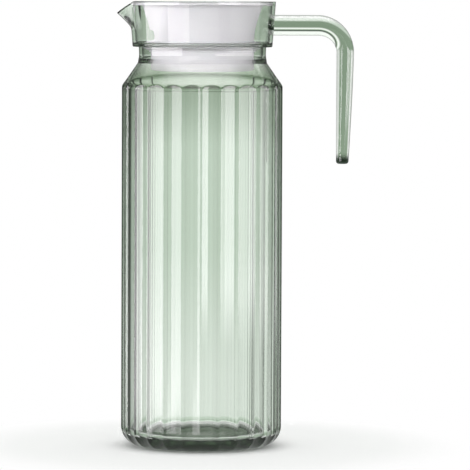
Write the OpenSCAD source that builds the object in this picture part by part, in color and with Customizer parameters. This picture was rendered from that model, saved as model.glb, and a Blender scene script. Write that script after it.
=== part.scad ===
// A tall fridge jug: a fluted bottle, a flared collar with a pouring lip and an L-shaped handle,
// and a plug lid with a dial that opens and shuts its pouring window.
// Millimetres. +Z is up and the origin is the middle of the base.
// The lip points along -X and the handle along +X.

/* [Body] */
// Diameter over the ridges of the body
body_d = 95; // [85:1:115]
// Height from the table to the rim of the collar
rim_h = 262; // [220:1:320]
// Wall of the body behind the middle of a flute
body_wall = 2; // [1.6:0.1:3]
// Thickness of the floor
floor_t = 7; // [3:0.5:8]
// Radius of the heel between the wall and the base
heel_r = 12; // [9:0.5:16]
// Height of the hollow under the base
base_hollow_h = 1.2; // [0.4:0.1:2]
// Width of the ring that the jug stands on
foot_ring_w = 6; // [3:0.5:10]

/* [Flutes] */
// Number of flutes round the body
flute_count = 26; // [18:2:34]
// Depth of a flute below the straight line between its ridges
flute_dish = 0.8; // [0.4:0.1:1.4]
// Width of the ridge between two flutes
ridge_w = 0.8; // [0.4:0.1:2]

/* [Shoulder and neck] */
// Height of the sloping shoulder
shoulder_h = 13.4; // [9:0.2:20]
// Outer diameter of the neck
neck_d = 75; // [66:0.2:80]
// Wall of the neck
neck_wall = 2.6; // [2:0.1:3.4]
// Height of bare neck between the shoulder and the collar
neck_h = 9.5; // [7:0.1:16]
// Height of the neck inside the collar
finish_h = 0.8; // [0.6:0.1:3]

/* [Collar] */
// Height of the collar
collar_h = 26.7; // [23:0.1:32]
// Step out from the neck to the foot of the collar
collar_step = 3.6; // [3:0.1:6]
// How much the collar's radius grows from its foot to its rim
collar_flare = 2; // [0:0.1:5]
// Wall of the collar
collar_wall = 2.6; // [2.2:0.1:3.4]
// Radius of the rounded foot of the collar
collar_foot_r = 1.5; // [0.6:0.1:2]
// Thickness of the rib that sits on the end of the neck
collar_rib_t = 1.5; // [1:0.1:3]
// Wall left round the flange of the lid
rim_lip = 1.5; // [1:0.1:1.8]

/* [Lip] */
// How far the tip stands out from the rim
lip_reach = 7.4; // [5:0.2:14]
// How far the tip lies below the rim
lip_drop = 6.4; // [4:0.2:8]
// Height of the root of the lip, from the rim down
lip_h = 15.4; // [11:0.1:17]
// Width of the lip at the rim
lip_w = 28; // [18:1:36]
// Wall of the lip
lip_wall = 2; // [1.4:0.1:2.4]

/* [Handle] */
// Depth of the bar's axis below the rim
bar_drop = 13.8; // [11:0.2:17]
// Thickness of the bar at its root
bar_d = 12; // [9:0.2:14]
// Thickness at the end of the bend
bend_d = 10.2; // [7:0.2:12]
// Thickness at the hanging end
tip_d = 7.4; // [4:0.2:9]
// Radius of the bend, at the middle of the bar
bend_r = 16; // [10:0.5:20]
// Clear gap for the fingers, between the body and the hanging leg
finger_gap = 31.4; // [24:0.2:50]
// Height from the bar's axis down to the hanging end
leg_h = 81.5; // [60:0.5:140]
// Diameter of the spigot that keys the bar into the collar
spigot_d = 7; // [5:0.5:8.5]
// Depth of the pocket for the spigot
spigot_len = 1.4; // [1:0.1:1.8]

/* [Lid] */
// Depth of the flange below the rim
flange_sink = 1; // [0.4:0.1:2]
// Thickness of the flange
flange_t = 1.2; // [0.8:0.1:2]
// Wall of the lid
lid_wall = 1.8; // [1.4:0.1:2.2]
// Height of the lid's cone
cone_h = 14.4; // [11:0.2:17]
// How much the cone's radius grows upwards
cone_flare = 5; // [3.5:0.1:5.6]
// Room between the plug and the neck
plug_room = 4.5; // [3.4:0.1:7]
// How far the plug hangs below the neck
plug_below = 5.8; // [3:0.2:12]
// Width of the pouring window
window_w = 26; // [14:1:34]
// Height of the soft seal
seal_h = 3.8; // [3.4:0.1:6]
// Thickness of a fin of the seal
fin_t = 0.7; // [0.5:0.1:0.8]
// Height of each rib that holds the seal
seal_rib_h = 0.9; // [0.6:0.1:1.4]
// How far those ribs stand out from the plug
seal_rib_out = 1; // [0.5:0.1:1.6]

/* [Dial] */
// Width of the ledge that the dial rests on
ledge_w = 1.6; // [1.2:0.1:2]
// Thickness of the dial
dial_t = 2; // [1.4:0.1:3]
// Wall of the gate sleeve below the dial
sleeve_wall = 2.6; // [2.2:0.1:3.4]
// Length of the finger grip
grip_len = 48; // [36:1:52]
// Width of the finger grip
grip_w = 6; // [4:0.5:9]
// Depth of the grip's top below the rim
grip_sink = 0.8; // [0.4:0.1:3]
// Diameter of the hollow that marks the pouring end of the grip
mark_d = 3; // [2:0.1:3.6]
// Depth of that hollow
mark_depth = 0.8; // [0.4:0.1:1.4]
// Height of the bead that keeps the dial in the plug
bead_h = 1.2; // [0.8:0.1:2]
// Step in the plug that the bead catches under
bead_step = 0.6; // [0.5:0.1:0.8]
// Thickness of the sealing ring's cord
o_ring_d = 1.5; // [1.2:0.1:1.8]

/* [Strainer] */
// Height of the strainer's wall
strainer_h = 5; // [3:0.5:7]
// Thickness of the strainer
strainer_t = 1.3; // [1:0.1:2]
// Diameter of a hole in the strainer
hole_d = 3; // [2:0.2:3.6]
// Distance between the rings of holes
hole_pitch = 6; // [5:0.2:8]

/* [Clearances] */
// Gap between pieces that are fixed together
weld_gap = 0.05; // [0.03:0.01:0.1]
// Gap between pieces that move
run_gap = 0.3; // [0.25:0.05:0.5]
// Gap between the sealing ring and the plug
o_ring_gap = 0.1; // [0.05:0.01:0.2]

/* [Hidden] */

clear_green = [0.74, 0.84, 0.7];
lid_white = [0.93, 0.93, 0.95];
soft_white = [0.82, 0.84, 0.84];

$fn = 104;
// Points in a quarter of a rounded edge
arc_steps = 8;
// How far a cutting shape runs past the face it cuts
over = 1;

// Heights of the bottle
collar_z = rim_h - collar_h;
neck_z = collar_z - neck_h;
body_z = neck_z - shoulder_h;
finish_z = collar_z + finish_h;

// Radii of the bottle
body_r = body_d / 2;
pitch_a = 360 / flute_count;
flute_w = 2 * body_r * sin(pitch_a / 2) - ridge_w;
flute_half_a = asin(flute_w / (2 * body_r));
flute_floor_r = body_r * cos(flute_half_a) - flute_dish;
flute_r = (pow(flute_w / 2, 2) + pow(flute_dish, 2)) / (2 * flute_dish);
inside_r = flute_floor_r - body_wall;
inside_heel_r = heel_r - floor_t;
neck_r = neck_d / 2;
neck_in_r = neck_r - neck_wall;

// The collar
foot_r = neck_r + collar_step;
rib_z = finish_z + weld_gap;
rib_top_z = rib_z + collar_rib_t;
flange_z = rim_h - flange_sink - flange_t;
rim_r = collar_r(rim_h);
rebate_r = collar_r(flange_z) - rim_lip;
lip_a = asin(lip_w / (2 * rim_r));
// Roundness of the lip's edge, and of the corners of its channel
lip_r = lip_wall / 2;
channel_r = lip_wall / 4;
ball_sides = 24;

// The handle
bar_z = rim_h - bar_drop;
leg_in_x = body_r + finger_gap;
bend_x = leg_in_x + bend_d / 2 - bend_r;
bend_z = bar_z - bend_r;
tip_z = bar_z - leg_h;
tip_round = tip_d / 3;
handle_sides = 24;
bend_steps = 10;
leg_steps = 6;
tip_steps = 3;
// The leg keeps its thickness below the bend before it tapers
taper_ease = 1.3;
// The last ring of the rounded end, short of a point
tip_last_a = 75;

// The lid
plug_r = neck_in_r - plug_room;
bore_r = plug_r - lid_wall;
low_bore_r = bore_r + bead_step;
plug_z = neck_z - plug_below;
cone_z = flange_z - cone_h;
seat_z = cone_z + cone_h * ledge_w / cone_flare;
flange_r = rebate_r - run_gap;
// The seal lies behind the collar's rib
seal_top_z = rib_top_z - run_gap;
seal_z = seal_top_z - seal_h;
seal_base_r = plug_r + seal_rib_out + fin_t;
fin_r = neck_in_r - run_gap;
groove_h = o_ring_d + 2 * o_ring_gap;
groove_z = seat_z - 2 * groove_h;
window_z = seal_top_z + 2 * seal_rib_h;
window_top_z = groove_z - o_ring_d;

// The dial
dial_r = bore_r + ledge_w - run_gap;
dial_z = seat_z + dial_t;
sleeve_r = bore_r - run_gap;
sleeve_in_r = sleeve_r - sleeve_wall;
bead_z = window_z - seal_rib_h - bead_h;
bead_r = low_bore_r - run_gap;
step_z = bead_z + bead_h + run_gap;
grip_top_z = rim_h - grip_sink;

// The strainer
strainer_r = low_bore_r - weld_gap;
hole_rings = floor((strainer_r - strainer_t - hole_d) / hole_pitch);
// Each ring of holes has this many more than the ring inside it
holes_more = 6;

// Outer radius of the collar at a height
function collar_r(z) = foot_r + collar_flare * (z - collar_z) / collar_h;

// Outer radius of the lid's cone at a height
function cone_r(z) = plug_r + cone_flare * (z - cone_z) / cone_h;

// Points of an arc about c from angle a to angle b
function arc(c, r, a, b) =
    [for (i = [0 : arc_steps]) let (t = a + (b - a) * i / arc_steps) c + r * [cos(t), sin(t)]];

// Thickness radius along the leg, with t from 0 at the bend to 1 at the end
function leg_r(t) = (bend_d - (bend_d - tip_d) * pow(t, taper_ease)) / 2;

// Rings of the handle, as x, z, direction and radius
handle_rings = concat(
    [[neck_r, bar_z, 90, bar_d / 2]],
    [for (i = [0 : bend_steps])
        let (t = i / bend_steps, a = 90 * (1 - t))
        [bend_x + bend_r * cos(a), bend_z + bend_r * sin(a), a, (bar_d + (bend_d - bar_d) * t) / 2]],
    [for (i = [1 : leg_steps])
        let (t = i / leg_steps)
        [leg_in_x + leg_r(t), bend_z + (tip_z + tip_round - bend_z) * t, 0, leg_r(t)]],
    [for (i = [1 : tip_steps])
        let (a = tip_last_a * i / tip_steps)
        [leg_in_x + tip_d / 2, tip_z + tip_round * (1 - sin(a)), 0, tip_d / 2 * cos(a)]]);

// Points of one ring of the handle
function ring_points(s) =
    [for (k = [0 : handle_sides - 1])
        let (b = 360 * k / handle_sides)
        [s[0] + s[3] * cos(b) * cos(s[2]), s[3] * sin(b), s[1] + s[3] * cos(b) * sin(s[2])]];

// A tube through a list of rings, closed at both ends
module ring_tube(rings) {
    n = handle_sides;
    last = len(rings) - 1;
    sides = [for (i = [0 : last - 1], k = [0 : n - 1])
        let (m = (k + 1) % n)
        each [[i * n + k, i * n + m, (i + 1) * n + m], [i * n + k, (i + 1) * n + m, (i + 1) * n + k]]];
    first_cap = [for (k = [n - 1 : -1 : 0]) k];
    last_cap = [for (k = [0 : n - 1]) last * n + k];
    polyhedron([for (s = rings) each ring_points(s)], concat(sides, [first_cap, last_cap]));
}

// A window through a wall on the side of the lip
module window_cut(wide, low, high) {
    translate([-neck_r, -wide / 2, low]) cube([neck_r, wide, high - low]);
}

module bottle_outside() {
    polygon(concat(
        [[0, 0]],
        arc([body_r - heel_r, heel_r], heel_r, -90, 0),
        [[body_r, body_z], [neck_r, neck_z], [neck_r, finish_z], [0, finish_z]]));
}

module bottle_inside() {
    polygon(concat(
        [[0, floor_t]],
        arc([inside_r - inside_heel_r, heel_r], inside_heel_r, -90, 0),
        [[inside_r, body_z], [neck_in_r, neck_z], [neck_in_r, finish_z + over], [0, finish_z + over]]));
}

module base_hollow() {
    hollow_r = body_r - heel_r - foot_ring_w;
    translate([0, 0, -over]) cylinder(h = base_hollow_h + over, r = hollow_r);
}

module flutes() {
    for (i = [0 : flute_count - 1])
        rotate([0, 0, -90 + pitch_a * (i + 0.5)])
            translate([flute_floor_r + flute_r, 0, -over])
                cylinder(h = body_z + shoulder_h / 2 + over, r = flute_r);
}

module bottle() {
    color(clear_green) difference() {
        rotate_extrude() bottle_outside();
        rotate_extrude() bottle_inside();
        base_hollow();
        flutes();
    }
}

module collar_outside() {
    polygon(concat(
        [[0, collar_z]],
        arc([foot_r - collar_foot_r, collar_z + collar_foot_r], collar_foot_r, -90, 0),
        [[rim_r, rim_h], [0, rim_h]]));
}

// The neck, the rib that sits on it, the pouring space above and the rebate for the lid
module collar_inside() {
    polygon([
        [0, collar_z - over],
        [neck_r + weld_gap, collar_z - over],
        [neck_r + weld_gap, rib_z],
        [neck_in_r, rib_z],
        [neck_in_r, rib_top_z],
        [collar_r(rib_top_z) - collar_wall, rib_top_z],
        [collar_r(flange_z) - collar_wall, flange_z],
        [rebate_r, flange_z],
        [rebate_r, rim_h + over],
        [0, rim_h + over]]);
}

// A pointed beak between two places on the rim, a root below them and a tip
module beak(rim_at, rim_a, root, tip, r) {
    hull() {
        for (s = [-1, 1])
            translate([-rim_at[0] * cos(rim_a), s * rim_at[0] * sin(rim_a), rim_at[1]])
                sphere(r, $fn = ball_sides);
        translate([-root[0], 0, root[1]]) sphere(r, $fn = ball_sides);
        translate([-tip[0], 0, tip[1]]) sphere(r, $fn = ball_sides);
    }
}

module lip_outside() {
    root_z = rim_h - lip_h;
    beak([rim_r - lip_r, rim_h - lip_r], lip_a, [collar_r(root_z) - collar_wall, root_z + lip_r],
        [rim_r + lip_reach - lip_r, rim_h - lip_drop - lip_r], lip_r);
}

// The channel of the lip, open along its top
module lip_channel() {
    in_r = rim_r - collar_wall;
    in_a = lip_a - asin(lip_wall / rim_r);
    slant_wall = lip_wall + lip_r;
    hull()
        for (up = [0, lip_h]) translate([0, 0, up])
            beak([in_r, rim_h - lip_wall], in_a, [in_r - collar_wall, rim_h - lip_h + slant_wall],
                [rim_r + lip_reach - slant_wall, rim_h - lip_drop - channel_r], channel_r);
}

module spigot(gap) {
    at_r = collar_r(bar_z);
    translate([at_r - spigot_len - gap, 0, bar_z]) rotate([0, 90, 0])
        cylinder(h = spigot_len + bar_d / 2, r = spigot_d / 2 + gap);
}

module spout_collar() {
    color(clear_green) difference() {
        union() {
            rotate_extrude() collar_outside();
            lip_outside();
        }
        rotate_extrude() collar_inside();
        lip_channel();
        spigot(weld_gap);
    }
}

module handle() {
    color(clear_green) union() {
        difference() {
            ring_tube(handle_rings);
            translate([0, 0, collar_z])
                cylinder(h = collar_h, r1 = foot_r + weld_gap, r2 = rim_r + weld_gap);
        }
        spigot(0);
    }
}

module shell_outside() {
    polygon([
        [0, plug_z],
        [plug_r, plug_z],
        [plug_r, seal_z - seal_rib_h],
        [plug_r + seal_rib_out, seal_z - seal_rib_h],
        [plug_r + seal_rib_out, seal_z],
        [plug_r, seal_z],
        [plug_r, seal_top_z],
        [plug_r + seal_rib_out, seal_top_z],
        [plug_r + seal_rib_out, seal_top_z + seal_rib_h],
        [plug_r, seal_top_z + seal_rib_h],
        [plug_r, cone_z],
        [cone_r(flange_z), flange_z],
        [flange_r, flange_z],
        [flange_r, flange_z + flange_t],
        [0, flange_z + flange_t]]);
}

module shell_inside() {
    polygon([
        [0, plug_z - over],
        [low_bore_r, plug_z - over],
        [low_bore_r, step_z],
        [bore_r, step_z],
        [bore_r, seat_z],
        [bore_r + ledge_w, seat_z],
        [cone_r(rim_h) - lid_wall, rim_h],
        [0, rim_h]]);
}

module lid_shell() {
    color(lid_white) difference() {
        rotate_extrude() shell_outside();
        rotate_extrude() shell_inside();
        window_cut(window_w, window_z, window_top_z);
    }
}

// A sleeve round the plug with two fins that lean up towards the neck
module lid_seal() {
    in_r = plug_r + weld_gap;
    fin_rise = fin_r - seal_base_r;
    low = seal_z + weld_gap;
    high = seal_top_z - weld_gap;
    mid = (low + high) / 2;
    color(soft_white) rotate_extrude()
        polygon([
            [in_r, low],
            [seal_base_r, low],
            [fin_r, low + fin_rise / 2],
            [fin_r, low + fin_rise / 2 + fin_t],
            [seal_base_r, low + fin_t],
            [seal_base_r, mid],
            [fin_r, mid + fin_rise / 2],
            [fin_r, mid + fin_rise / 2 + fin_t],
            [seal_base_r, mid + fin_t],
            [seal_base_r, high],
            [in_r, high]]);
}

module dial_profile() {
    polygon([
        [0, seat_z],
        [sleeve_in_r, seat_z],
        [sleeve_in_r, bead_z],
        [bead_r, bead_z],
        [bead_r, bead_z + bead_h],
        [sleeve_r, bead_z + bead_h],
        [sleeve_r, groove_z],
        [bore_r - o_ring_gap - o_ring_d, groove_z],
        [bore_r - o_ring_gap - o_ring_d, groove_z + groove_h],
        [sleeve_r, groove_z + groove_h],
        [sleeve_r, seat_z],
        [dial_r, seat_z],
        [dial_r, dial_z],
        [0, dial_z]]);
}

// A bar with round ends
module grip() {
    translate([0, 0, seat_z]) linear_extrude(grip_top_z - seat_z)
        union() {
            square([grip_len - grip_w, grip_w], center = true);
            for (s = [-1, 1]) translate([s * (grip_len - grip_w) / 2, 0]) circle(d = grip_w);
        }
}

module pour_dial() {
    mark_x = -(grip_len - grip_w) / 2;
    color(lid_white) difference() {
        union() {
            rotate_extrude() dial_profile();
            grip();
        }
        window_cut(window_w, window_z, window_top_z);
        translate([mark_x, 0, grip_top_z - mark_depth]) cylinder(h = mark_depth + over, d = mark_d);
    }
}

module dial_o_ring() {
    color(soft_white) rotate_extrude()
        translate([bore_r - o_ring_gap - o_ring_d / 2, groove_z + groove_h / 2])
            circle(d = o_ring_d - 2 * weld_gap);
}

module strainer() {
    color(lid_white) difference() {
        translate([0, 0, plug_z]) cylinder(h = strainer_h, r = strainer_r);
        translate([0, 0, plug_z + strainer_t]) cylinder(h = strainer_h, r = strainer_r - strainer_t);
        for (ring = [0 : hole_rings])
            let (count = max(1, holes_more * ring))
                for (i = [0 : count - 1]) rotate([0, 0, 360 * i / count])
                    translate([ring * hole_pitch, 0, plug_z - over])
                        cylinder(h = strainer_t + 2 * over, d = hole_d);
    }
}

bottle();
spout_collar();
handle();
lid_shell();
lid_seal();
pour_dial();
dial_o_ring();
strainer();
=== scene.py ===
"""A tall clear green fluted jug with a white plug lid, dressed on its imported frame."""

import math

import bpy
import numpy as np
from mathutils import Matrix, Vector


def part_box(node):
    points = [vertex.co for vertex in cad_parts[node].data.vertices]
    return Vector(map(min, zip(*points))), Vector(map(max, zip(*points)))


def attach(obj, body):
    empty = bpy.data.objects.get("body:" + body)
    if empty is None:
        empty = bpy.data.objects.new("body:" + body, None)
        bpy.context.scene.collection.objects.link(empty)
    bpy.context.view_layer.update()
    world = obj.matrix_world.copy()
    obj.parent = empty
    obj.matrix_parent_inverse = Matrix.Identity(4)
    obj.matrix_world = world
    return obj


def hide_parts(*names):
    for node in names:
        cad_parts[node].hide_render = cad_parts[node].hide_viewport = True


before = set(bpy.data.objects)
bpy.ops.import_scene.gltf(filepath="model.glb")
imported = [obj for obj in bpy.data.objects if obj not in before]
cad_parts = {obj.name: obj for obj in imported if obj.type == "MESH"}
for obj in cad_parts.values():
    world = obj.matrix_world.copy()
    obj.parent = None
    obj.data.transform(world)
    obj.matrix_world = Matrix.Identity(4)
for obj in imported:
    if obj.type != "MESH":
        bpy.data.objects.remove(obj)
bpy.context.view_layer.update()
bpy.ops.object.select_all(action="DESELECT")

MM = 0.001
TAU = 2 * math.pi


def box_mm(node):
    """A node's lowest and highest corners in millimetres."""
    low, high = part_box(node)
    return low / MM, high / MM


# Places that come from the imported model, in millimetres
_, bottle_high = box_mm("bottle")
collar_low, collar_high = box_mm("spout_collar")
handle_low, handle_high = box_mm("handle")
shell_low, shell_high = box_mm("lid_shell")
seal_low, seal_high = box_mm("lid_seal")
dial_low, dial_high = box_mm("pour_dial")

BODY_R = bottle_high.y
FINISH_Z = bottle_high.z
COLLAR_Z = collar_low.z
RIM_Z = collar_high.z
RIM_R = collar_high.y
LIP_TIP_R = -collar_low.x
HANDLE_END_Z = handle_low.z
HANDLE_BACK_X = handle_high.x
PLUG_Z = shell_low.z
FLANGE_TOP_Z = shell_high.z
FLANGE_R = shell_high.y
SEAL_Z = seal_low.z
SEAL_TOP_Z = seal_high.z
FIN_R = seal_high.y
DIAL_R = dial_high.y
BEAD_Z = dial_low.z
GRIP_TOP_Z = dial_high.z

# Gaps between welded pieces and between running ones
WELD_GAP = 0.05
RUN_GAP = 0.3

# Bottle
NECK_H = 9.5
SHOULDER_H = 13.4
NECK_Z = COLLAR_Z - NECK_H
BODY_Z = NECK_Z - SHOULDER_H
NECK_R = 37.5
NECK_IN_R = 34.9
NECK_IN_Z = NECK_Z + 2.5
NECK_SWELL = 0.5
FLOOR_T = 7.0
FLOOR_DOME = 0.8
HEEL_R = 12.0
HEEL_FADE = math.radians(78)
HEEL_NEAR = 0.05
HOLLOW_H = 1.2
HOLLOW_R = 29.5
HOLLOW_SLOPE = 2.0
FLUTES = 26
FLUTE_DISH = 0.8
FLUTE_SAG = 0.3
RIDGE_W = 0.8
RIDGE_ROUND = 0.12
WALL = 2.0
INSIDE_R = BODY_R - FLUTE_DISH - FLUTE_SAG - WALL
INSIDE_Z = BODY_Z - 0.5
SCALLOP_H = 4.0
SCALLOP_ROWS = 12
COLUMNS = 16 * FLUTES
COLUMN_PULL = 0.6

# Collar and lip
COLLAR_WALL = 2.6
COLLAR_STEP = 3.6
COLLAR_ROWS = 14
FOOT_R = NECK_R + COLLAR_STEP
FLANGE_T = 1.2
RIM_LIP = 1.5
RIB_T = 1.5
REBATE_IN = 0.3
REBATE_BELOW = 0.1
REBATE_FADE = 4
LIP_W = 28.0
LIP_H = 16.0
LIP_DROP = 6.9
LIP_CURVE = 1.25
LIP_ROUND = 0.07
LIP_EASE = 0.2
LIP_THIN = 1.1

# Handle
BAR_DROP = 13.8
BAR_Z = RIM_Z - BAR_DROP
BAR_D = 12.0
ROOT_IN = 1.5
BEND_D = 10.2
BEND_R = 16.0
LEG_IN_X = HANDLE_BACK_X - BEND_D
TAPER_EASE = 1.3
TIP_D = 7.4
TIP_ROUND = 1.7
TIP_LAST = math.radians(84)

# Lid
LID_WALL = 1.8
PLUG_ROOM = 4.5
PLUG_R = NECK_IN_R - PLUG_ROOM
BORE_R = PLUG_R - LID_WALL
BEAD_H = 1.2
BEAD_STEP = 0.6
LOW_BORE_R = BORE_R + BEAD_STEP
STEP_Z = BEAD_Z + BEAD_H + RUN_GAP
LEDGE_W = 1.6
CONE_H = 14.4
CONE_FLARE = 5.0
FLANGE_Z = FLANGE_TOP_Z - FLANGE_T
CONE_Z = FLANGE_Z - CONE_H
SEAT_Z = CONE_Z + CONE_H * LEDGE_W / CONE_FLARE
SEAL_RIB_H = 0.9
SEAL_RIB_OUT = 1.0
FIN_T = 0.7
O_RING_D = 1.5
O_RING_GAP = 0.1
GROOVE_H = O_RING_D + 2 * O_RING_GAP
GROOVE_Z = SEAT_Z - 2 * GROOVE_H
WINDOW_W = 26.0
WINDOW_Z = SEAL_TOP_Z + 2 * SEAL_RIB_H
WINDOW_TOP_Z = GROOVE_Z - O_RING_D
WINDOW_ROUND = 2.0

# Dial
DIAL_T = 2.0
DISH_H = 0.3
DISH_IN = 3.0
SLEEVE_R = BORE_R - RUN_GAP
SLEEVE_WALL = 2.6
GRIP_LEN = 48.0
GRIP_W = 6.0
GRIP_ROOT = 0.5
GRIP_ROUND = 1.2
MARK_R = 2.0
MARK_IN = 4.0
MARK_UP = 1.0


def collar_r(z):
    """Outer radius of the collar at a height."""
    return FOOT_R + (RIM_R - FOOT_R) * (z - COLLAR_Z) / (RIM_Z - COLLAR_Z)


def cone_r(z):
    """Outer radius of the lid's cone at a height."""
    return PLUG_R + CONE_FLARE * (z - CONE_Z) / CONE_H


# Modelling


def rounded(corners, closed, steps=6):
    """Points of an outline of (radius, height, fillet) corners, with an arc at each fillet."""
    points = []
    count = len(corners)
    for i, (x, z, fillet) in enumerate(corners):
        here = Vector((x, z))
        if fillet == 0 or (not closed and i in (0, count - 1)):
            points.append(here)
            continue
        before = (Vector(corners[i - 1][:2]) - here).normalized()
        after = (Vector(corners[(i + 1) % count][:2]) - here).normalized()
        half = before.angle(after) / 2
        centre = here + (before + after).normalized() * fillet / math.sin(half)
        start = here + before * fillet / math.tan(half) - centre
        end = here + after * fillet / math.tan(half) - centre
        turn = start.angle_signed(end)
        for k in range(steps + 1):
            a = -turn * k / steps
            cos_a = math.cos(a)
            sin_a = math.sin(a)
            spun = Vector((start.x * cos_a - start.y * sin_a, start.x * sin_a + start.y * cos_a))
            points.append(centre + spun)
    return points


def rows_between(low, high, count):
    """Even heights between two heights, ends left out."""
    return [low + (high - low) * (i + 1) / (count + 1) for i in range(count)]


def tidy_mesh(piece, angle=35):
    """Merges doubles, turns faces outwards and shades the piece smooth up to an angle."""
    bpy.ops.object.mode_set(mode="EDIT")
    bpy.ops.mesh.select_all(action="SELECT")
    bpy.ops.mesh.remove_doubles(threshold=1e-6)
    bpy.ops.mesh.normals_make_consistent(inside=False)
    bpy.ops.object.mode_set(mode="OBJECT")
    bpy.ops.object.shade_smooth_by_angle(angle=math.radians(angle))
    piece.select_set(False)
    return piece


def lathe(name, points, columns, closed):
    """Spins an outline, drawn vertex by vertex, about the jug's axis."""
    bpy.ops.mesh.primitive_plane_add(size=MM)
    piece = bpy.context.object
    piece.name = piece.data.name = name
    bpy.ops.object.mode_set(mode="EDIT")
    bpy.ops.mesh.merge(type="CENTER")
    route = points + points[:1] if closed else points
    at = Vector((0, 0))
    for i, point in enumerate(route):
        step = (point - at) * MM
        move = (step.x, 0, step.y)
        if i == 0:
            bpy.ops.transform.translate(value=move)
        else:
            bpy.ops.mesh.extrude_vertices_move(TRANSFORM_OT_translate={"value": move})
        at = point
    bpy.ops.mesh.select_all(action="SELECT")
    bpy.ops.mesh.spin(steps=columns, angle=TAU, center=(0, 0, 0), axis=(0, 0, 1))
    bpy.ops.object.mode_set(mode="OBJECT")
    return piece


def vertex_table(piece):
    """The piece's vertices as an array, in millimetres."""
    flat = np.empty(len(piece.data.vertices) * 3)
    piece.data.vertices.foreach_get("co", flat)
    return flat.reshape(-1, 3) / MM


def set_vertices(piece, table):
    """Puts an array of millimetres back as the piece's vertices."""
    piece.data.vertices.foreach_set("co", (table * MM).ravel())
    piece.data.update()


def combine(piece, other, operation):
    """Joins or cuts a piece with another solid, which is then deleted."""
    modifier = piece.modifiers.new(operation.lower(), "BOOLEAN")
    modifier.object = other
    modifier.operation = operation
    modifier.solver = "EXACT"
    bpy.context.view_layer.objects.active = piece
    piece.select_set(True)
    bpy.ops.object.modifier_apply(modifier=modifier.name)
    bpy.data.objects.remove(other)
    return piece


def block(name, low, high, bevel):
    """A box between two corners in millimetres with bevelled edges."""
    bpy.ops.mesh.primitive_cube_add(size=1)
    piece = bpy.context.object
    piece.name = piece.data.name = name
    middle = (Vector(low) + Vector(high)) / 2
    size = Vector(high) - Vector(low)
    bpy.ops.object.mode_set(mode="EDIT")
    bpy.ops.transform.resize(value=size * MM)
    bpy.ops.transform.translate(value=middle * MM)
    bpy.ops.mesh.bevel(offset=bevel * MM, segments=5, affect="EDGES")
    bpy.ops.object.mode_set(mode="OBJECT")
    return piece


# Bottle


def flute_surface(angle):
    """Radius of the fluted surface at angles counted from the middle of a flute."""
    pitch = TAU / FLUTES
    width = 2 * BODY_R * math.sin(pitch / 2) - RIDGE_W
    floor_r = BODY_R * math.cos(math.asin(width / (2 * BODY_R))) - FLUTE_DISH
    arc_r = (width ** 2 / 4 + FLUTE_DISH ** 2) / (2 * FLUTE_DISH)
    centre_r = floor_r + arc_r
    return centre_r * np.cos(angle) - np.sqrt(arc_r ** 2 - (centre_r * np.sin(angle)) ** 2)


def soft_min(first, second, blend):
    """The smaller of two lengths, with a rounded change from one to the other."""
    near = np.clip(blend - np.abs(first - second), 0, None)
    return np.minimum(first, second) - near ** 2 / (4 * blend)


def flute(piece):
    """Presses the flutes into the body and round its heel, with columns drawn towards the ridges."""
    table = vertex_table(piece)
    radius = np.hypot(table[:, 0], table[:, 1])
    height = table[:, 2].copy()
    angle = np.arctan2(table[:, 1], table[:, 0]) + math.pi / 2
    angle -= COLUMN_PULL / FLUTES * np.sin(FLUTES * angle)
    pitch = TAU / FLUTES
    surface = flute_surface(np.mod(angle, pitch) - pitch / 2)
    heel_out = radius - (BODY_R - HEEL_R)
    heel_down = HEEL_R - height
    off_heel = np.abs(np.hypot(heel_out, heel_down) - HEEL_R)
    on_heel = (heel_down > 0) & (heel_out > 0) & (off_heel < HEEL_NEAR)
    turn = np.arctan2(heel_down, heel_out)
    depth = BODY_R - soft_min(BODY_R, surface, RIDGE_ROUND)
    depth *= np.cos(np.clip(turn / HEEL_FADE, 0, 1) * math.pi / 2)
    straight = soft_min(radius, surface, RIDGE_ROUND)
    radius = np.where(on_heel, radius - depth * np.cos(turn), straight)
    table[:, 0] = radius * np.sin(angle)
    table[:, 1] = -radius * np.cos(angle)
    table[:, 2] = np.where(on_heel, height + depth * np.sin(turn), height)
    set_vertices(piece, table)


def make_bottle():
    """The fluted body, its heel, shoulder and neck, and its smooth inside, as one shell."""
    heel_in_r = BODY_R - HEEL_R
    base = [
        (0, HOLLOW_H + FLOOR_DOME, 0), (HOLLOW_R - HOLLOW_SLOPE, HOLLOW_H, 8), (HOLLOW_R, 0, 1),
        (heel_in_r, 0, 0)]
    heel = [(heel_in_r, 0, 0), (BODY_R, 0, HEEL_R), (BODY_R, HEEL_R * 2, 0)]
    edge = [(BODY_R, BODY_Z - 6, 0), (BODY_R, BODY_Z, 2.5), (NECK_R, NECK_Z, 0)]
    shoulder = rounded(edge, False, 12)[:-1]
    edge_r, edge_z = shoulder[-1]
    slope = (NECK_R - BODY_R) / (NECK_Z - BODY_Z)
    for z in rows_between(edge_z, edge_z + SCALLOP_H, SCALLOP_ROWS):
        shoulder.append(Vector((edge_r + slope * (z - edge_z), z)))
    neck_and_inside = [
        (*shoulder[-1], 0), (NECK_R + NECK_SWELL, NECK_Z, 0.8),
        (NECK_R - NECK_SWELL / 2, COLLAR_Z - 5, 10), (NECK_R, COLLAR_Z, 6), (NECK_R, FINISH_Z, 0.5),
        (NECK_IN_R, FINISH_Z, 0.5), (NECK_IN_R, NECK_IN_Z, 2), (INSIDE_R, INSIDE_Z, 10),
        (INSIDE_R, FLOOR_T, 2), (0, FLOOR_T + FLOOR_DOME, 0)]
    outline = rounded(base, False, 6)[:-1] + rounded(heel, False, 30)[1:-1] + shoulder
    outline += rounded(neck_and_inside, False, 10)[1:]
    piece = lathe("bottle_wall", outline, COLUMNS, False)
    tidy_mesh(piece)
    flute(piece)
    return piece


# Collar and lip


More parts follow.
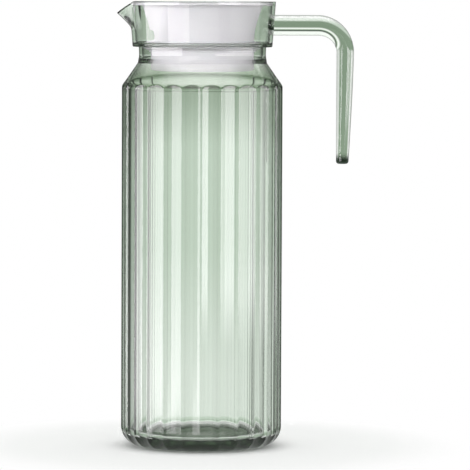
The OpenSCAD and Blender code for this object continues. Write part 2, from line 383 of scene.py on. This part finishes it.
def pull_lip(piece):
    """Draws the collar's wall out to a pointed pouring lip on the -X side."""
    table = vertex_table(piece)
    radius = np.hypot(table[:, 0], table[:, 1])
    height = table[:, 2].copy()
    angle = np.arctan2(table[:, 1], -table[:, 0])
    half = math.asin(LIP_W / 2 / RIM_R)
    off = np.sqrt((angle / half) ** 2 + LIP_ROUND ** 2) - LIP_ROUND
    share = np.clip(1 - off, 0, 1)
    share = np.where(share < LIP_EASE, share ** 2 / (2 * LIP_EASE) + share / 2, share)
    up = np.clip((height - (RIM_Z - LIP_H)) / LIP_H, 0, 1)
    wall_r = collar_r(height)
    in_rebate = (height > FLANGE_Z - REBATE_BELOW) & (radius < wall_r - RIM_LIP + REBATE_IN)
    filled = np.clip(share * REBATE_FADE, 0, 1)
    radius = np.where(in_rebate, radius + (wall_r - COLLAR_WALL - radius) * filled, radius)
    thin = np.where(radius < wall_r - COLLAR_WALL / 2, LIP_THIN, 0)
    radius += (LIP_TIP_R - RIM_R + thin) * share * up ** LIP_CURVE
    table[:, 0] = -radius * np.cos(angle)
    table[:, 1] = radius * np.sin(angle)
    table[:, 2] = height - LIP_DROP * share * up
    set_vertices(piece, table)


def make_collar():
    """The flared ring with its rounded foot, the rib on the neck and the rebate for the lid."""
    bore_r = NECK_R + WELD_GAP
    rib_z = FINISH_Z + WELD_GAP
    rib_top_z = rib_z + RIB_T
    ledge_z = FLANGE_Z - WELD_GAP
    rebate_r = collar_r(FLANGE_Z) - RIM_LIP
    inner_top_r = collar_r(FLANGE_Z) - COLLAR_WALL
    inner_low_r = collar_r(rib_top_z) - COLLAR_WALL
    outer_heights = rows_between(COLLAR_Z + 2, RIM_Z - 1, COLLAR_ROWS)
    inner_heights = rows_between(rib_top_z + 0.5, FLANGE_Z - 1, COLLAR_ROWS)
    outer = [Vector((collar_r(z), z)) for z in outer_heights]
    inner = [Vector((collar_r(z) - COLLAR_WALL, z)) for z in inner_heights]
    foot = [(bore_r, rib_z, 0), (bore_r, COLLAR_Z, 0.6), (FOOT_R, COLLAR_Z, 0.7), (RIM_R, RIM_Z, 0)]
    rim = [
        (*outer[-1], 0), (RIM_R, RIM_Z, 0.3), (rebate_r, RIM_Z, 0.3), (rebate_r, ledge_z, 0),
        (inner_top_r, ledge_z, 0), (*inner[-1], 0)]
    rib = [
        (*inner[0], 0), (inner_low_r, rib_top_z, 0.4), (NECK_IN_R, rib_top_z, 0.5),
        (NECK_IN_R, rib_z, 0.3), (bore_r, rib_z, 0)]
    outline = rounded(foot, False)[:-1] + outer + rounded(rim, False)[1:-1]
    outline += inner[::-1] + rounded(rib, False)[1:-1]
    piece = lathe("spout_ring", outline, COLUMNS, True)
    tidy_mesh(piece)
    pull_lip(piece)
    return piece


# Handle


def handle_stations():
    """Centres and radii along the bar, the bend, the leg and the rounded end."""
    bend_x = LEG_IN_X + BEND_D / 2 - BEND_R
    bend_z = BAR_Z - BEND_R
    root_x = collar_r(BAR_Z) - ROOT_IN
    stations = [(x, BAR_Z, BAR_D / 2) for x in np.linspace(root_x, bend_x, 8)]
    for t in np.linspace(0, 1, 25)[1:]:
        a = math.pi / 2 * (1 - t)
        x = bend_x + BEND_R * math.cos(a)
        z = bend_z + BEND_R * math.sin(a)
        smooth = t * t * (3 - 2 * t)
        stations.append((x, z, (BAR_D + (BEND_D - BAR_D) * smooth) / 2))
    for t in np.linspace(0, 1, 16)[1:]:
        r = (BEND_D - (BEND_D - TIP_D) * t ** TAPER_EASE) / 2
        z = bend_z + (HANDLE_END_Z + TIP_ROUND - bend_z) * t
        stations.append((LEG_IN_X + r, z, r))
    for a in np.linspace(0, TIP_LAST, 9)[1:]:
        r = TIP_D / 2 - TIP_ROUND * (1 - math.cos(a))
        z = HANDLE_END_Z + TIP_ROUND * (1 - math.sin(a))
        stations.append((LEG_IN_X + TIP_D / 2, z, r))
    return stations


def make_handle():
    """A round bar swept along its stations, its root shaped to the collar."""
    stations = handle_stations()
    bpy.ops.curve.primitive_nurbs_path_add()
    piece = bpy.context.object
    piece.name = piece.data.name = "handle_bar"
    curve = piece.data
    curve.splines.clear()
    spline = curve.splines.new("POLY")
    spline.points.add(len(stations) - 1)
    for point, (x, z, r) in zip(spline.points, stations):
        point.co = (x * MM, 0, z * MM, 1)
        point.radius = r
    curve.dimensions = "3D"
    curve.bevel_depth = MM
    curve.bevel_resolution = 14
    curve.use_fill_caps = True
    bpy.ops.object.convert(target="MESH")
    table = vertex_table(piece)
    root = table[:, 0] < collar_r(BAR_Z)
    reach = (collar_r(table[:, 2]) + WELD_GAP) ** 2 - table[:, 1] ** 2
    table[root, 0] = np.sqrt(reach[root])
    set_vertices(piece, table)
    return tidy_mesh(piece, 50)


# Lid


def window_block(name):
    """The solid that cuts the pouring window."""
    low = (-NECK_R, -WINDOW_W / 2, WINDOW_Z)
    high = (-NECK_R / 3, WINDOW_W / 2, WINDOW_TOP_Z)
    return block(name, low, high, WINDOW_ROUND)


def make_shell():
    """The lid's flange, cone and plug with the pouring window."""
    rib_r = PLUG_R + SEAL_RIB_OUT
    low_rib_z = SEAL_Z - SEAL_RIB_H
    high_rib_z = SEAL_TOP_Z + SEAL_RIB_H
    cone_in_r = cone_r(FLANGE_TOP_Z) - LID_WALL
    corners = [
        (PLUG_R, PLUG_Z, 0.5), (PLUG_R, low_rib_z, 0.2), (rib_r, low_rib_z, 0.3), (rib_r, SEAL_Z, 0.2),
        (PLUG_R, SEAL_Z, 0.1), (PLUG_R, SEAL_TOP_Z, 0.1), (rib_r, SEAL_TOP_Z, 0.2),
        (rib_r, high_rib_z, 0.3), (PLUG_R, high_rib_z, 0.2), (PLUG_R, CONE_Z, 40),
        (cone_r(FLANGE_Z), FLANGE_Z, 2.5), (FLANGE_R, FLANGE_Z, 0.4), (FLANGE_R, FLANGE_TOP_Z, 0.5),
        (cone_in_r, FLANGE_TOP_Z, 1), (BORE_R + LEDGE_W, SEAT_Z, 0.3), (BORE_R, SEAT_Z, 0.2),
        (BORE_R, STEP_Z, 0.2), (LOW_BORE_R, STEP_Z, 0.2), (LOW_BORE_R, PLUG_Z, 0.3)]
    piece = lathe("lid_cup", rounded(corners, True, 4), 192, True)
    tidy_mesh(piece)
    combine(piece, window_block("shell_window"), "DIFFERENCE")
    return tidy_mesh(piece, 30)


def make_seal():
    """The soft ring with two fins that lean up towards the neck."""
    in_r = PLUG_R + WELD_GAP
    base_r = PLUG_R + SEAL_RIB_OUT + FIN_T
    middle_z = (SEAL_Z + SEAL_TOP_Z) / 2
    rise = (FIN_R - base_r) / 2

    def fin(z):
        """The corners of the fin that starts at a height."""
        return [(FIN_R, z + rise, 0.2), (FIN_R, z + rise + FIN_T, 0.2), (base_r, z + FIN_T, 0.2)]

    corners = [
        (in_r, SEAL_Z, 0.1), (base_r, SEAL_Z, 0.2), *fin(SEAL_Z), (base_r, middle_z, 0.2), *fin(middle_z),
        (base_r, SEAL_TOP_Z, 0.3), (in_r, SEAL_TOP_Z, 0.1)]
    return tidy_mesh(lathe("plug_seal", rounded(corners, True, 4), 160, True))


def make_dial():
    """The dial, its finger grip and the gate sleeve with its own window."""
    groove_top_z = SEAT_Z - GROOVE_H
    groove_r = BORE_R - O_RING_D - O_RING_GAP
    dial_z = SEAT_Z + DIAL_T
    dish_z = dial_z - DISH_H
    bead_r = LOW_BORE_R - RUN_GAP
    bead_top_z = BEAD_Z + BEAD_H
    sleeve_in_r = SLEEVE_R - SLEEVE_WALL
    corners = [
        (0, SEAT_Z, 0), (sleeve_in_r, SEAT_Z, 1), (sleeve_in_r, BEAD_Z, 0.3), (bead_r, BEAD_Z, 0.3),
        (bead_r, bead_top_z, 0.3), (SLEEVE_R, bead_top_z, 0.1), (SLEEVE_R, GROOVE_Z, 0.1),
        (groove_r, GROOVE_Z, 0.1), (groove_r, groove_top_z, 0.1), (SLEEVE_R, groove_top_z, 0.1),
        (SLEEVE_R, SEAT_Z, 0.1), (DIAL_R, SEAT_Z, 0.1), (DIAL_R, dial_z, 0.5),
        (DIAL_R - DISH_IN, dish_z, 1), (0, dish_z, 0)]
    piece = lathe("dial_cup", rounded(corners, False, 4), 160, False)
    tidy_mesh(piece)
    combine(piece, window_block("dial_window"), "DIFFERENCE")
    grip_low = (-GRIP_LEN / 2, -GRIP_W / 2, SEAT_Z + GRIP_ROOT)
    grip_high = (GRIP_LEN / 2, GRIP_W / 2, GRIP_TOP_Z)
    combine(piece, block("grip", grip_low, grip_high, GRIP_ROUND), "UNION")
    mark = Vector((MARK_IN - GRIP_LEN / 2, 0, GRIP_TOP_Z + MARK_UP)) * MM
    bpy.ops.mesh.primitive_uv_sphere_add(segments=32, ring_count=16, radius=MARK_R * MM, location=mark)
    combine(piece, bpy.context.object, "DIFFERENCE")
    return tidy_mesh(piece, 30)


# Materials

WHITE = (1, 1, 1, 1)
# Where the clear plastic is darkened by painted shade: the two ends of each change of shade, in metres
PAST_BODY_X = ((BODY_R + 0.5) * MM, (BODY_R + 4.5) * MM)
SHOULDER_LOW_Z = ((BODY_Z - 1.2) * MM, (BODY_Z + 0.2) * MM)
SHOULDER_HIGH_Z = ((BODY_Z + 3.1) * MM, (NECK_Z + 1.7) * MM)
CORNER_HIGH_Z = ((BODY_Z + 0.6) * MM, (BODY_Z + 2) * MM)
RIM_EDGE_Z = ((RIM_Z - 0.8) * MM, (RIM_Z - 0.3) * MM)
LEG_SIDE_X = ((LEG_IN_X - 18.9) * MM, (LEG_IN_X - 8.9) * MM)
LEG_END_Z = ((HANDLE_END_Z + 2.2) * MM, (HANDLE_END_Z + 7) * MM)
# Colours of the painted shade on the clear plastic at the shoulder, its corner, the rim and the handle's end
SHOULDER_PAINTED_SHADE = (0.70, 0.75, 0.68, 1)
CORNER_PAINTED_SHADE = (0.46, 0.54, 0.43, 1)
RIM_PAINTED_SHADE = (0.5, 0.53, 0.51, 1)
END_PAINTED_SHADE = (0.05, 0.07, 0.055, 1)
DEPTH_TINT = (0.20, 0.32, 0.18, 1)
LID_STOPS = [(0.3, (0.91, 0.905, 0.93, 1)), (0.7, (0.94, 0.935, 0.96, 1))]
SEAL_COLOUR = (0.93, 0.925, 0.945, 1)


class Value:
    """A number socket whose arithmetic adds Math nodes."""

    def __init__(self, tree, socket):
        self.tree = tree
        self.socket = socket

    def math(self, operation, first, second=None):
        """Adds a Math node on one or two values."""
        node = self.tree.nodes.new("ShaderNodeMath")
        node.operation = operation
        for slot, value in zip(node.inputs, (first, second)):
            if isinstance(value, Value):
                self.tree.links.new(value.socket, slot)
            elif value is not None:
                slot.default_value = value
        return Value(self.tree, node.outputs[0])

    def __add__(self, other):
        return self.math("ADD", self, other)

    def __radd__(self, other):
        return self.math("ADD", other, self)

    def __sub__(self, other):
        return self.math("SUBTRACT", self, other)

    def __rsub__(self, other):
        return self.math("SUBTRACT", other, self)

    def __mul__(self, other):
        return self.math("MULTIPLY", self, other)

    def __rmul__(self, other):
        return self.math("MULTIPLY", other, self)

    def __lt__(self, other):
        return self.math("LESS_THAN", self, other)

    def __gt__(self, other):
        return self.math("GREATER_THAN", self, other)

    def __abs__(self):
        return self.math("ABSOLUTE", self)


class Finish:
    """The node tree of a material or of the world."""

    def __init__(self, owner):
        owner.use_nodes = True
        self.tree = owner.node_tree
        self.tree.nodes.clear()

    def node(self, kind, output=0, settings=None, **sockets):
        """Adds a node, sets it up, fills its sockets by name and gives back one of its outputs."""
        node = self.tree.nodes.new("ShaderNode" + kind)
        for key, value in (settings or {}).items():
            if key == "stops":
                ramp = node.color_ramp.elements
                while len(ramp) < len(value):
                    ramp.new(0.5)
                for stop, (at, colour) in zip(ramp, value):
                    stop.position = at
                    stop.color = colour
            else:
                setattr(node, key, value)
        for key, value in sockets.items():
            numbered = key[1:].isdigit()
            slot = node.inputs[int(key[1:]) if numbered else key.replace("_", " ")]
            if isinstance(value, Value):
                self.tree.links.new(value.socket, slot)
            else:
                slot.default_value = value
        return Value(self.tree, node.outputs[output])

    def show(self, kind, **sockets):
        """Adds the output node and links it."""
        node = self.tree.nodes.new("ShaderNodeOutput" + kind)
        for key, value in sockets.items():
            self.tree.links.new(value.socket, node.inputs[key])


def axis_values(finish, place):
    """The three numbers of a vector."""
    return [finish.node("SeparateXYZ", axis, None, Vector=place) for axis in "XYZ"]


def ease(finish, value, low, high):
    """A smooth step from 0 at low to 1 at high."""
    return finish.node("MapRange", 0, {"interpolation_type": "SMOOTHSTEP"}, _0=value, _1=low, _2=high)


def band(finish, value, rise, fall):
    """A smooth step up between the ends of rise, and down again between the ends of fall."""
    return ease(finish, value, *rise) * (1 - ease(finish, value, *fall))


def mix(finish, share, first, second):
    """A colour that goes from the first to the second as share goes from 0 to 1."""
    return finish.node("Mix", 2, {"data_type": "RGBA"}, _0=share, _6=first, _7=second)


def colour_along(finish, value, stops):
    """The colour at a value along a row of (place, colour) stops."""
    return finish.node("ValToRGB", "Color", {"stops": stops}, Fac=value)


def clear_plastic():
    """Glossy clear plastic, greener with depth, with painted shade at the shoulder, the rim and the handle's
    end.
    """
    material = bpy.data.materials.new("clear_green_plastic")
    finish = Finish(material)
    place = finish.node("TexCoord", "Object")
    ripple = finish.node("TexNoise", "Fac", Vector=place, Scale=38.0, Detail=1.0)
    haze = finish.node("TexNoise", "Fac", Vector=place, Scale=220.0, Detail=3.0)
    bump = finish.node("Bump", "Normal", Height=ripple, Strength=0.006, Distance=0.002)
    x, _, z = axis_values(finish, place)
    on_bottle = 1 - ease(finish, x, *PAST_BODY_X)
    # Painted shade: the bottle's shoulder is darkened from just below its edge up to the neck
    shoulder = band(finish, z, SHOULDER_LOW_Z, SHOULDER_HIGH_Z) * on_bottle
    # Painted shade: a darker band round the shoulder's lower corner, at the tops of the flutes
    corner_shade = band(finish, z, SHOULDER_LOW_Z, CORNER_HIGH_Z) * on_bottle
    # Painted shade: a dark line along the top of the rim
    rim = ease(finish, z, *RIM_EDGE_Z)
    # Painted shade: the end of the handle's leg is painted nearly black
    end = ease(finish, x, *LEG_SIDE_X) * (1 - ease(finish, z, *LEG_END_Z))
    tint = mix(finish, shoulder, WHITE, SHOULDER_PAINTED_SHADE)
    tint = mix(finish, corner_shade, tint, CORNER_PAINTED_SHADE)
    tint = mix(finish, rim, tint, RIM_PAINTED_SHADE)
    tint = mix(finish, end, tint, END_PAINTED_SHADE)
    skin = finish.node("BsdfPrincipled", Base_Color=tint, Roughness=haze * 0.02, IOR=1.49,
                       Transmission_Weight=1.0, Normal=bump)
    depth = finish.node("VolumeAbsorption", Color=DEPTH_TINT, Density=50.0)
    finish.show("Material", Surface=skin, Volume=depth)
    return material


def lid_plastic():
    """White moulded plastic, half gloss, with a fine grain."""
    material = bpy.data.materials.new("white_lid_plastic")
    finish = Finish(material)
    place = finish.node("TexCoord", "Object")
    cloud = finish.node("TexNoise", "Fac", Vector=place, Scale=45.0, Detail=4.0)
    grain = finish.node("TexNoise", "Fac", Vector=place, Scale=1800.0, Detail=2.0)
    tint = colour_along(finish, cloud, LID_STOPS)
    bump = finish.node("Bump", "Normal", Height=grain, Strength=0.08, Distance=0.0004)
    skin = finish.node("BsdfPrincipled", Base_Color=tint, Roughness=cloud * 0.12 + 0.4, IOR=1.4,
                       Normal=bump)
    finish.show("Material", Surface=skin)
    return material


def soft_silicone():
    """Milky white silicone."""
    material = bpy.data.materials.new("milky_silicone")
    finish = Finish(material)
    place = finish.node("TexCoord", "Object")
    cloud = finish.node("TexNoise", "Fac", Vector=place, Scale=300.0, Detail=3.0)
    skin = finish.node("BsdfPrincipled", Base_Color=SEAL_COLOUR, Roughness=cloud * 0.2 + 0.35, IOR=1.41,
                       Transmission_Weight=0.2)
    finish.show("Material", Surface=skin)
    return material


def dress(piece, body, slot, material, *nodes):
    """Gives a piece its finish and its body, and hides the nodes that it stands for."""
    piece.data.materials.clear()
    piece.data.materials.append(material)
    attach(piece, body)
    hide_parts(*nodes)


clear_green = clear_plastic()
lid_white = lid_plastic()
silicone = soft_silicone()

dress(make_bottle(), "jug", "clear_green", clear_green, "bottle")
dress(make_collar(), "jug", "clear_green", clear_green, "spout_collar")
dress(make_handle(), "jug", "clear_green", clear_green, "handle")
dress(make_shell(), "lid", "lid_white", lid_white, "lid_shell")
dress(make_seal(), "lid", "soft_seal", silicone, "lid_seal")
dress(make_dial(), "dial", "lid_white", lid_white, "pour_dial")
for node, material in (("strainer", lid_white), ("dial_o_ring", silicone)):
    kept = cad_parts[node]
    kept.data.materials.clear()
    kept.data.materials.append(material)


# Stage

# Floor: lengths in metres, and distances from the jug's axis between which it changes
FLOOR_R = 0.3
FLOOR_DROP = 0.0002
FLOOR_BASE = 0.24
FLOOR_GLOW = 0.39
FLOOR_COLOUR = (0.79, 0.81, 0.79, 1)
FOOT_SHADE = (0.034, 0.06)
FLOOR_FADE = (0.052, 0.11)
SEEN_FURTHER = 0.05

# Room: strengths of its light, and slopes, from -1 straight down to 1 straight up, between which it changes
LIGHT_COLOUR = (1, 0.95, 1, 1)
EVEN_LIGHT = 1.0
EVEN_SHINY = 0.06
HIGH_DIM = 0.45
HIGH_SLOPES = (0.1, 0.8)
LOW_DIM = 0.65
LOW_SLOPES = (-0.95, -0.45)
GLOSS_EVEN = 0.12
CEILING_LIGHT = 0.1
GLOSS_CEILING = 6.0
CEILING_SLOPES = (0.72, 0.95)

# Softboxes: strength, bearings from straight behind the jug and rises, in degrees
SOFT_EDGE = 0.8
KEY_BOX = (6.0, (-143, -76), (-7.4, 3))
FILL_BOX = (7.5, (119, 156), (-5.5, 3))
WING_BOX = (4.0, (76, 119), (-5.5, 3))
LOW_BOX = (3.4, (-159, -123), (-14, -7))
FRONT_BOX = (12.5, (-176, -138), (3.5, 17))

# Surround that shows through the clear plastic, with places from 0 straight down to 1 straight up
PALE_SAGE = (0.82, 0.92, 0.82, 1)
BRIGHT_SAGE = (0.9, 0.98, 0.9, 1)
SAGE = (0.68, 0.80, 0.68, 1)
DEEP_SAGE = (0.42, 0.53, 0.40, 1)
MID_GREEN = (0.42, 0.52, 0.41, 1)
CORE_GREEN = (0.36, 0.46, 0.35, 1)
DARK = (0.05, 0.07, 0.05, 1)
BODY_STOPS = [
    (0.25, WHITE), (0.30, DEEP_SAGE), (0.35, DEEP_SAGE), (0.41, BRIGHT_SAGE), (0.44, BRIGHT_SAGE),
    (0.465, SAGE), (0.484, SAGE), (0.494, MID_GREEN), (0.565, MID_GREEN), (0.575, DARK), (0.66, DARK),
    (0.69, WHITE)]
BAR_STOPS = [
    (0.22, WHITE), (0.25, PALE_SAGE), (0.335, BRIGHT_SAGE), (0.375, CORE_GREEN), (0.55, CORE_GREEN),
    (0.585, WHITE), (0.61, WHITE), (0.64, MID_GREEN), (0.66, DARK), (0.68, DARK), (0.735, WHITE)]
SIDE_SHADE = 0.9
RIGHT_SHADE = ((0.42, 0.5), (0.70, 0.78))
LEFT_SHADE = ((0.46, 0.54), (0.86, 0.92))
SHADE_SLOPES = (-0.4, -0.25)
BAR_LIFT_SLOPES = ((-0.06, -0.045), (0.1, 0.12))
BAR_LIFT_SIDES = (0.46, 0.58)
SKY_LIFT = 0.5
SKY_SLOPES = (0.1, 0.2)
TRAPPED_DIM = 0.5

# Counts of the surfaces that a ray has met, set between whole numbers
NONE = 0.5
BAR_COUNT = 2.5
BODY_COUNT = 3.5


def ray(finish, fact):
    """What Light Path says of a ray, as 0 or 1 or as a count."""
    return finish.node("LightPath", fact)


def softbox(finish, bearing, z, box):
    """The light of a patch of sky between two bearings and two slopes."""
    strength, span, rise = box
    soft = math.radians(SOFT_EDGE)
    left, right = (math.radians(a) for a in span)
    low, high = (math.sin(math.radians(a)) for a in rise)
    across = band(finish, bearing, (left - soft, left + soft), (right - soft, right + soft))
    up = band(finish, z, (low - soft, low + soft), (high - soft, high + soft))
    return strength * across * up


def make_floor():
    """A pale round floor that keeps the jug's shadow, with painted shade round its foot, and runs out into
    the white background.
    """
    bpy.ops.mesh.primitive_circle_add(vertices=96, radius=FLOOR_R, fill_type="NGON",
                                      location=(0, 0, -FLOOR_DROP))
    floor = bpy.context.object
    floor.name = "floor"
    material = bpy.data.materials.new("pale_floor")
    finish = Finish(material)
    place = finish.node("TexCoord", "Object")
    distance = finish.node("VectorMath", "Value", {"operation": "LENGTH"}, _0=place)
    seen = ray(finish, "Is Camera Ray")
    matt = finish.node("BsdfDiffuse", Color=FLOOR_COLOUR)
    # Painted contact shadow: the glow that the camera sees fades close to the jug's foot, so the floor is
    # darker there
    clear_of_foot = ease(finish, distance, *FOOT_SHADE)
    strength = FLOOR_BASE * (1 - seen) + FLOOR_GLOW * seen * clear_of_foot
    glow = finish.node("Emission", Color=WHITE, Strength=strength)
    near = finish.node("AddShader", _0=matt, _1=glow)
    white = finish.node("Emission", Color=WHITE, Strength=1.0)
    clear = finish.node("BsdfTransparent")
    beyond = finish.node("MixShader", _0=seen, _1=clear, _2=white)
    reach = ease(finish, distance - SEEN_FURTHER * seen, *FLOOR_FADE)
    skin = finish.node("MixShader", _0=reach, _1=near, _2=beyond)
    finish.show("Material", Surface=skin)
    floor.data.materials.append(material)
    floor.select_set(False)


def surround(finish, x, y, z):
    """The pale green surround, one for the hollow body and one for the solid bar of the handle."""
    flat = finish.node("CombineXYZ", "Vector", X=x, Y=y, Z=0.0)
    level = finish.node("VectorMath", "Vector", {"operation": "NORMALIZE"}, _0=flat)
    right = axis_values(finish, level)[0]
    passed = ray(finish, "Transmission Depth")
    bounced = ray(finish, "Glossy Depth")
    in_bar = (passed < BAR_COUNT) * (bounced < NONE)
    trapped = (bounced > NONE) * (passed > BODY_COUNT)
    shade = band(finish, right, *RIGHT_SHADE) + band(finish, 0 - right, *LEFT_SHADE)
    shade *= ease(finish, z, *SHADE_SLOPES) * (1 - in_bar)
    lift = band(finish, z, *BAR_LIFT_SLOPES) * ease(finish, abs(right), *BAR_LIFT_SIDES)
    height = z * 0.5 + 0.5
    through_body = colour_along(finish, height, BODY_STOPS)
    through_bar = mix(finish, lift, colour_along(finish, height, BAR_STOPS), WHITE)
    colour = mix(finish, in_bar, through_body, through_bar)
    strength = 1 + SKY_LIFT * ease(finish, z, *SKY_SLOPES) - SIDE_SHADE * shade
    strength *= 1 - TRAPPED_DIM * trapped
    return finish.node("Background", Color=colour, Strength=strength)


def room(finish, x, y, z, direct):
    """An even light for bare surfaces, and softboxes for gloss and for the lid inside the plastic."""
    bearing = x.math("ARCTAN2", x, y)
    shiny = ray(finish, "Is Glossy Ray")
    gloss = shiny * direct
    outer = gloss * (ray(finish, "Transmission Depth") < NONE)
    even = EVEN_LIGHT * (1 - HIGH_DIM * ease(finish, z, *HIGH_SLOPES))
    even *= 1 - LOW_DIM + LOW_DIM * ease(finish, z, *LOW_SLOPES)
    light = even * (1 - gloss) * (1 + EVEN_SHINY * shiny) + GLOSS_EVEN * gloss
    ceiling = CEILING_LIGHT * (1 - gloss) + GLOSS_CEILING * outer
    light += ceiling * ease(finish, z, *CEILING_SLOPES)
    for box in (KEY_BOX, FILL_BOX, WING_BOX, LOW_BOX):
        light += shiny * softbox(finish, bearing, z, box)
    light += (shiny - gloss) * softbox(finish, bearing, z, FRONT_BOX)
    return finish.node("Background", Color=mix(finish, shiny, WHITE, LIGHT_COLOUR), Strength=light)


def make_world():
    """A white studio that the camera sees plain, with the surround for rays through clear plastic."""
    world = bpy.data.worlds.new("studio")
    bpy.context.scene.world = world
    finish = Finish(world)
    x, y, z = axis_values(finish, finish.node("TexCoord", "Generated"))
    direct = ray(finish, "Diffuse Depth") < NONE
    through = ray(finish, "Is Transmission Ray") * direct
    studio = room(finish, x, y, z, direct)
    around = surround(finish, x, y, z)
    lit = finish.node("MixShader", _0=through, _1=studio, _2=around)
    plain = finish.node("Background", Color=WHITE, Strength=1.0)
    sky = finish.node("MixShader", _0=ray(finish, "Is Camera Ray"), _1=lit, _2=plain)
    finish.show("World", Surface=sky)


def make_lamp():
    """A weak soft lamp in front of the jug, up to the left."""
    at = Vector((-0.62, -1.45, 0.52))
    aim = Vector((0, 0, 0.24))
    bpy.ops.object.light_add(type="AREA", location=at)
    lamp = bpy.context.object
    lamp.name = "front_softbox"
    lamp.data.shape = "RECTANGLE"
    lamp.data.size = 1.1
    lamp.data.size_y = 0.4
    lamp.data.energy = 2
    lamp.rotation_euler = (aim - at).to_track_quat("-Z", "Y").to_euler()
    lamp.select_set(False)


def make_camera():
    """A long lens at the height of the rim, as in the photograph."""
    distance = 2.3
    above_rim = 0.004
    frame_width = 0.2773
    roll = math.radians(0.25)
    aim = Vector((0.0196, 0, 0.1245))
    camera = bpy.data.objects.new("camera", bpy.data.cameras.new("camera"))
    bpy.context.scene.collection.objects.link(camera)
    camera.location = (aim.x, -distance, RIM_Z * MM + above_rim)
    line = aim - camera.location
    camera.rotation_euler = line.to_track_quat("-Z", "Y").to_euler()
    camera.rotation_euler.rotate_axis("Z", roll)
    camera.data.sensor_width = 36
    camera.data.lens = camera.data.sensor_width * line.length / frame_width
    camera.data.clip_end = 100
    bpy.context.scene.camera = camera


make_floor()
make_world()
make_lamp()
make_camera()

scene = bpy.context.scene
scene.view_settings.view_transform = "Standard"
scene.cycles.max_bounces = 24
scene.cycles.transmission_bounces = 24
scene.cycles.glossy_bounces = 12
